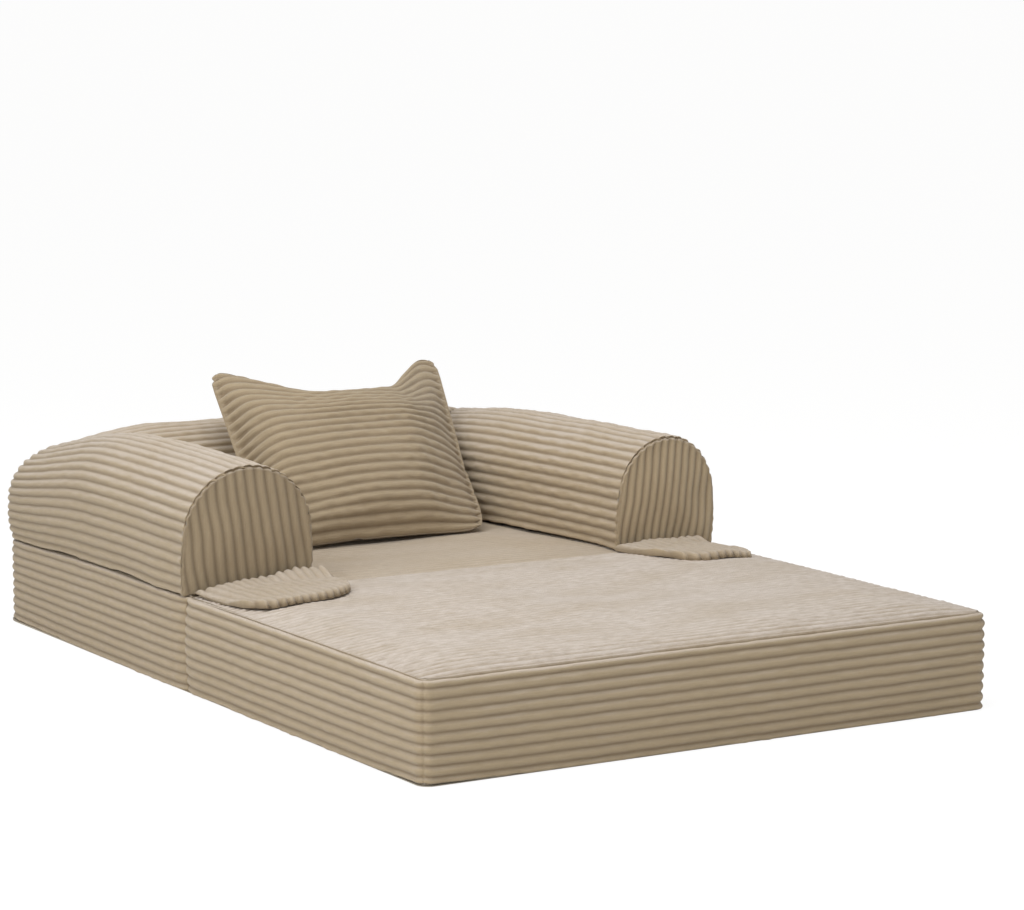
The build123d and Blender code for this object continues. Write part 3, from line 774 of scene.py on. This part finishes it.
def flap(name, side, radius, reach, skew, shift, stand, droop, seed):
    """Grid of columns, each one rib's length forward: depth follows (1 - |x/R|^n)^(1/n), squarer at the outer
    end. The rear edge stands up against the cap but for its left end, and the curved edge is rounded over.
    The underside goes no lower than the hollow of the fold panel leaves room for when the flap hangs."""
    low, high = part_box(f"{name}_flap_face")
    ribs = round(2 * radius / flap_pitch)
    x = np.linspace(-radius, radius, ribs * 10 + 1)
    t = np.concatenate([np.linspace(0, 1, upper_samples), [0.97, 0.8, 0.66, 0.5, 0.3, 0.15, 0.03]])
    bead = rib_height(x + radius, 2 * radius / ribs)
    power = np.where(x * side > 0, 4.2, 2.6)
    curve = (1 - np.abs(x / radius) ** power) ** (1 / power)
    depth = flap_least_depth + (high.y - low.y + reach) * curve + flap_beads * bead
    depth = depth * (1 + skew * x / radius * side) + flap_unevenness * wander(x, 0 * x, 0.16, seed)
    grid_x = np.repeat(x[:, None], len(t), 1)
    gone = depth[:, None] * t
    edge = np.minimum(np.minimum(depth[:, None] - gone, gone + 0.002), radius - np.abs(grid_x) + 0.003)
    rim = np.clip(edge / flap_edge, 0, 1)
    thick = flap_thickness * np.sqrt(np.maximum(1 - (1 - rim) ** 2, 0)) + 0.001
    wave = flap_wave * wander(grid_x, gone, 0.13, seed + 1)
    standing = smooth(-0.9 * radius, 0.6 * radius, grid_x) * (1 - smooth(0.0, 0.060, gone))
    hanging = (1 - smooth(-radius, -0.7 * radius, grid_x * np.sign(-side))) * smooth(0.06, 0.0, gone - 0.12)
    place_x = side * (half_width - arch_radius) + shift + grid_x
    place_y = high.y - flap_to_hinge - gone
    lies_on = base_height + flap_to_top + front_crown(np.clip(place_x, -half_width, half_width), place_y)
    lies_on = lies_on + wave + stand * standing - droop * hanging
    dip = smooth(0.010, 0.040, gone) * (1 - smooth(0.125, 0.160, gone))
    under = np.maximum(lies_on, low.z - hang_room - hang_dip * dip)
    z = np.maximum(lies_on + thick, under + 0.4 * thick)
    z[:, upper_samples:] = (under + 0.0002)[:, upper_samples:]
    cover = smooth(-0.003, 0.004, edge)
    cover[:, upper_samples:] = 0
    lumps = 1 + 0.25 * wander(gone, grid_x, 0.03, seed + 2)
    bold = 0.45 + 0.55 * (1 - smooth(0.004, 0.022, edge))
    z = np.maximum(z + flap_relief * (bead[:, None] * lumps - 1) * cover * bold, under + 0.0002)
    points = np.stack([place_x, place_y, z], -1)
    rib = 0.6 + (bead[:, None] - 0.6) * cover * bold
    piece = skin(f"{name}_flap_cloth", points, gone, grid_x, rib, flap_corduroy)
    dress(piece, f"{name}_flap", [f"{name}_flap_face", f"{name}_flap_backing"])


flap_corduroy = corduroy("corduroy_flaps", top_light_share=0.35, top_light_patchiness=0.45, streaking=0.30, grain=(60, 200, 1),
                         tone=0.93)
flap("left", -1, radius=0.146, reach=0.026, skew=0.15, shift=0.034, stand=0.020, droop=0.010, seed=61)
flap("right", 1, radius=0.108, reach=0.042, skew=0, shift=0.012, stand=0.006, droop=0.003, seed=64)


# Throw pillow: two square cloths sewn edge to edge, blown up by the fill, with ribs along its
# upper edge. It stands on the seat by its lower edge and leans on the back.
pillow_corners = np.array([[(-0.262, 0.330, 0.198), (-0.206, 0.745, 0.547)],
                           [(0.298, 0.350, 0.197), (0.402, 0.765, 0.545)]])
pillow_fullness = 0.158
pillow_half = 0.265
pillow_cloth = 0.5
pillow_relief = 0.005
pillow_to_seat = 0.0045
sag_share = 0.270
scallop_share = 0.020
ear_share = 0.065
pillow_columns = 132
pillow_ribs = 22
pillow_rows = pillow_ribs * 9 + 1
coarse = 45


def inflated(count):
    """Two square sheets that share their border, blown up by the pressure of a cloth simulation for a set
    number of frames. Gives both sides as grids of points."""
    u = np.linspace(-1, 1, count)
    grid = np.stack([*np.meshgrid(u, u, indexing="ij"), np.zeros((count, count))], -1)
    bow = 0.004 * (1 - grid[..., 0] ** 2) * (1 - grid[..., 1] ** 2)
    grid *= pillow_half
    front = grid.copy()
    front[..., 2] = bow
    rear = grid.copy()
    rear[..., 2] = -bow
    index = np.arange(count * count).reshape(count, count)
    back_index = index + count * count
    for line in (np.s_[0, :], np.s_[-1, :], np.s_[:, 0], np.s_[:, -1]):
        back_index[line] = index[line]
    faces = []
    for order, table in ((1, index), (-1, back_index)):
        quads = np.stack([table[:-1, :-1], table[1:, :-1], table[1:, 1:], table[:-1, 1:]], -1).reshape(-1, 4)
        faces += quads[:, ::order].tolist()
    mesh = bpy.data.meshes.new("pillow_blank")
    mesh.from_pydata(np.concatenate([front.reshape(-1, 3), rear.reshape(-1, 3)]).tolist(), [], faces)
    blank = bpy.data.objects.new("pillow_blank", mesh)
    scene.collection.objects.link(blank)
    cloth = blank.modifiers.new("cloth", "CLOTH")
    cloth.settings.quality = 6
    cloth.settings.mass = 0.3
    cloth.settings.tension_stiffness = 15
    cloth.settings.compression_stiffness = 15
    cloth.settings.shear_stiffness = 5
    cloth.settings.bending_stiffness = 0.5
    cloth.settings.use_pressure = True
    cloth.settings.uniform_pressure_force = 2.0
    cloth.settings.effector_weights.gravity = 0
    frames = 17
    scene.frame_start = 1
    scene.frame_end = frames
    cloth.point_cache.frame_end = frames
    for step in range(1, frames + 1):
        scene.frame_set(step)
    shaped = blank.evaluated_get(bpy.context.evaluated_depsgraph_get()).to_mesh()
    place = np.zeros(len(shaped.vertices) * 3)
    shaped.vertices.foreach_get("co", place)
    place = place.reshape(-1, 3)
    bpy.data.objects.remove(blank)
    scene.frame_set(1)
    return place[index], place[back_index]


def refine(grid, rows, columns):
    """Cubic interpolation of a grid of points to more rows and columns."""
    for axis, wanted in ((0, rows), (1, columns)):
        count = grid.shape[axis]
        place = np.linspace(0, count - 1, wanted)
        first = np.clip(place.astype(int), 0, count - 2)
        t = (place - first).reshape([-1 if i == axis else 1 for i in range(3)])
        p = [np.take(grid, np.clip(first + k, 0, count - 1), axis) for k in (-1, 0, 1, 2)]
        grid = 0.5 * (2 * p[1] + (p[2] - p[0]) * t + (2 * p[0] - 5 * p[1] + 4 * p[2] - p[3]) * t**2
                      + (3 * p[1] - p[0] - 3 * p[2] + p[3]) * t**3)
    return grid


sides = inflated(coarse)
reach_u = np.mean([abs(s[a, b, 0]) for s in sides for a in (0, -1) for b in (0, -1)])
reach_v = np.mean([abs(s[a, b, 1]) for s in sides for a in (0, -1) for b in (0, -1)])
thickness = sides[0][..., 2].max() - sides[1][..., 2].min()
across_span = pillow_corners[1] - pillow_corners[0]
up_span = pillow_corners[:, 1] - pillow_corners[:, 0]
pillow_normal = np.cross(across_span.mean(0), up_span.mean(0))
pillow_normal /= np.linalg.norm(pillow_normal)
sheets = []
even_a, even_b = np.meshgrid(np.linspace(-1, 1, pillow_columns), np.linspace(-1, 1, pillow_rows),
                             indexing="ij")
v_front = (even_b[0] + 1) / 2 * pillow_cloth
v_front = v_front + 0.3 * v_front * (pillow_cloth - v_front)
for face, full, way, side_share in zip(sides, (1.25, 0.75), (1, -1), (0.60, 0.85)):
    for _ in range(4):
        around = face[2:, 1:-1] + face[:-2, 1:-1] + face[1:-1, 2:] + face[1:-1, :-2]
        face[1:-1, 1:-1] = face[1:-1, 1:-1] * 0.5 + around * 0.125
    fine = refine(face, pillow_columns, pillow_rows)
    # The sides and the lower edge stay nearly straight, the sides scalloped by the rib ends. The upper edge
    # sags between the ears, the fill having sunk away from it, and it rises sharply to the right one.
    upper = smooth(-0.2, 1.0, even_b)
    a = fine[..., 0] / reach_u
    b = fine[..., 1] / reach_v
    a = a + 0.65 * (even_a - a)
    b = b + 0.65 * (1 - upper) * (even_b - b)
    b = b - sag_share * upper * smooth(-0.95, -0.15, a) * (1 - smooth(0.44, 0.86, a))
    scallop = scallop_share * (1 - rib_height(v_front[None], pillow_cloth / pillow_ribs))
    a = a * (1 - scallop * smooth(0.85, 1.0, np.abs(even_a)))
    ear = 1 - ear_share * np.abs(even_a * even_b) ** 8
    u = (a * ear + 1)[..., None] / 2
    v = (b * ear + 1)[..., None] / 2
    flat = ((1 - u) * (1 - v) * pillow_corners[0, 0] + (1 - u) * v * pillow_corners[0, 1]
            + u * (1 - v) * pillow_corners[1, 0] + u * v * pillow_corners[1, 1])
    flat_side = 1 - side_share * smooth(0.35, 1.0, way * even_a)
    flat_ends = (1 - 0.50 * smooth(0.2, 1.0, even_b)) * (1 - 0.20 * smooth(-0.3, -1.0, even_b))
    puff = fine[..., 2] / thickness * pillow_fullness * full * flat_side * flat_ends
    sheets.append(flat + pillow_normal * puff[..., None])
loop = np.concatenate([sheets[0], sheets[1][:, -2:0:-1]], 1)
cloth_width = 0.55
cloth_u = np.linspace(0, cloth_width, pillow_columns)[:, None] + 0 * loop[..., 0]
cloth_v = np.concatenate([v_front, v_front[-2:0:-1]])[None] + 0 * loop[..., 0]
cloth_cover = smooth(-0.002, 0.009, np.minimum(cloth_u, cloth_width - cloth_u))
ribbed, rib = quilt(loop, cloth_u, cloth_v, cloth_cover, pitch=pillow_cloth / pillow_ribs,
                    depth=pillow_relief, seed=71)
# Its weight flattens it on the seat: what would sink in is pressed to near the seat's top.
seat_top = base_height + pillow_to_seat
sunk = np.minimum(ribbed[..., 2] - seat_top, 0)
ribbed[..., 2] = np.maximum(ribbed[..., 2], seat_top) + sunk * 0.06
pillow_corduroy = corduroy("corduroy_pillow", top_light_share=0.05, top_light_patchiness=0.20, streaking=0.35, tone=0.86)
pillow = skin("pillow_cloth", ribbed, cloth_u, cloth_v, rib, pillow_corduroy)
dress(pillow, "pillow", ["pillow_cover", "pillow_filling"])


# Plain cloths of the underside, woven hinge tape and zip tapes, all sewn in by their edges: one
# plain weave in three shades. A band of Blender's wave texture is 0.314 units long.
band_length = 0.314


def weave(name, light, dark, pitch):
    """Plain weave: two sets of sine bands at right angles, with a little unevenness."""
    cloth = Finish(name, Specular_IOR_Level=0.2)
    across = cloth.node("ShaderNodeTexWave", {"bands_direction": "X"},
                        {"Vector": cloth.place((1, 1, 1)), "Scale": band_length / pitch, "Distortion": 0.4})
    down = cloth.node("ShaderNodeTexWave", {"bands_direction": "Y"},
                      {"Vector": cloth.place((1, 1, 1)), "Scale": band_length / pitch, "Distortion": 0.4})
    thread = across * down
    uneven = cloth.noise(cloth.place((40, 40, 40)), 3, 0.6)
    shade = cloth.mix(thread * 0.7 + uneven * 0.3, dark, light)
    cloth.feed(cloth.shader.inputs["Base Color"], shade)
    cloth.feed(cloth.shader.inputs["Roughness"], 0.8 + uneven * 0.15)
    cloth.feed(cloth.shader.inputs["Normal"], cloth.bump(thread, 0.0004, 0.6))
    return cloth.material


lining = weave("lining", (0.60, 0.55, 0.47, 1), (0.42, 0.37, 0.30, 1), 0.0012)
hinge_tape = weave("hinge_tape", (0.42, 0.35, 0.26, 1), (0.28, 0.23, 0.16, 1), 0.0018)
zip_tape = weave("zip_tape", (0.36, 0.30, 0.22, 1), (0.24, 0.20, 0.14, 1), 0.001)


# Zip sliders and their pulls: die-cast metal under a beige paint that has worn thin at random.
# Each slider runs on the coil of its tape, and its pull turns in the slider's ear.
metal = Finish("zip_metal", Metallic=0.6, Coat_Weight=0.3)
wear = metal.noise(metal.place((900, 900, 900)), 4, 0.7)
metal.feed(metal.shader.inputs["Base Color"], metal.mix(metal.spread(wear, 0.45, 0.7), (0.30, 0.25, 0.18, 1),
                                                        (0.55, 0.52, 0.47, 1)))
metal.feed(metal.shader.inputs["Roughness"], 0.35 + wear * 0.25)

# The pieces that stay as they were built take the finish of their own material slot.
finishes = {"foam": foam.material, "lining": lining, "hinge_tape": hinge_tape, "zip_tape": zip_tape,
            "zip_metal": metal.material, "corduroy": side_corduroy, "filling": foam.material}
for part in frame["record"]["subparts"]:
    node = frame["nodes"][part["node"]]
    node.data.materials.clear()
    node.data.materials.append(finishes[part["material_slot"]])


# Studio: a pale floor that the camera sees nearly white, a big soft light above, a second from
# the left of the bed, and an even sky.
floor_half = 300
floor_mesh = bpy.data.meshes.new("floor")
floor_mesh.from_pydata([(-floor_half, -floor_half, 0), (floor_half, -floor_half, 0),
                        (floor_half, floor_half, 0), (-floor_half, floor_half, 0)], [], [(0, 1, 2, 3)])
floor = bpy.data.objects.new("floor", floor_mesh)
scene.collection.objects.link(floor)
pale = Finish("pale_floor")
pale.shader.inputs["Base Color"].default_value = (0.80, 0.80, 0.79, 1)
pale.shader.inputs["Roughness"].default_value = 0.9
seen = pale.node("ShaderNodeLightPath", {}, {}, "Is Camera Ray")
glossy = pale.node("ShaderNodeLightPath", {}, {}, "Is Glossy Ray")
through = pale.node("ShaderNodeLightPath", {}, {}, "Is Transmission Ray")
glow = pale.node("ShaderNodeEmission", {}, {"Color": (1, 1, 1, 1), "Strength": 1.12})
lit = pale.node("ShaderNodeMixShader", {}, {0: (seen + glossy + through) * 0.80})
pale.tree.links.new(pale.shader.outputs[0], lit.socket.node.inputs[1])
pale.tree.links.new(glow.socket, lit.socket.node.inputs[2])
pale.tree.links.new(lit.socket, pale.tree.nodes["Material Output"].inputs[0])
floor_mesh.materials.append(pale.material)

sky = bpy.data.worlds.new("sky")
sky.use_nodes = True
scene.world = sky
tree = sky.node_tree
path = tree.nodes.new("ShaderNodeLightPath")
plain = tree.nodes["Background"]
plain.inputs["Color"].default_value = (1.0, 0.985, 0.965, 1)
plain.inputs["Strength"].default_value = 0.50
white = tree.nodes.new("ShaderNodeBackground")
white.inputs["Color"].default_value = (1, 1, 1, 1)
chosen = tree.nodes.new("ShaderNodeMixShader")
tree.links.new(path.outputs["Is Camera Ray"], chosen.inputs[0])
tree.links.new(plain.outputs[0], chosen.inputs[1])
tree.links.new(white.outputs[0], chosen.inputs[2])
tree.links.new(chosen.outputs[0], tree.nodes["World Output"].inputs[0])

for name, place, aim, size, power in (
    ("top_light", (-0.8, -0.6, 3.4), (0, 0, 0), 2.8, 84),
    ("left_light", (-6.3, -3.3, 4.4), (0, 0, 0.2), 3.8, 172),
):
    lamp = bpy.data.lights.new(name, "AREA")
    lamp.size = size
    lamp.energy = power
    light = bpy.data.objects.new(name, lamp)
    light.location = place
    away = np.array(place) - np.array(aim)
    light.rotation_euler = Euler((math.atan2(math.hypot(away[0], away[1]), away[2]), 0,
                                  math.atan2(away[0], -away[1])))
    scene.collection.objects.link(light)
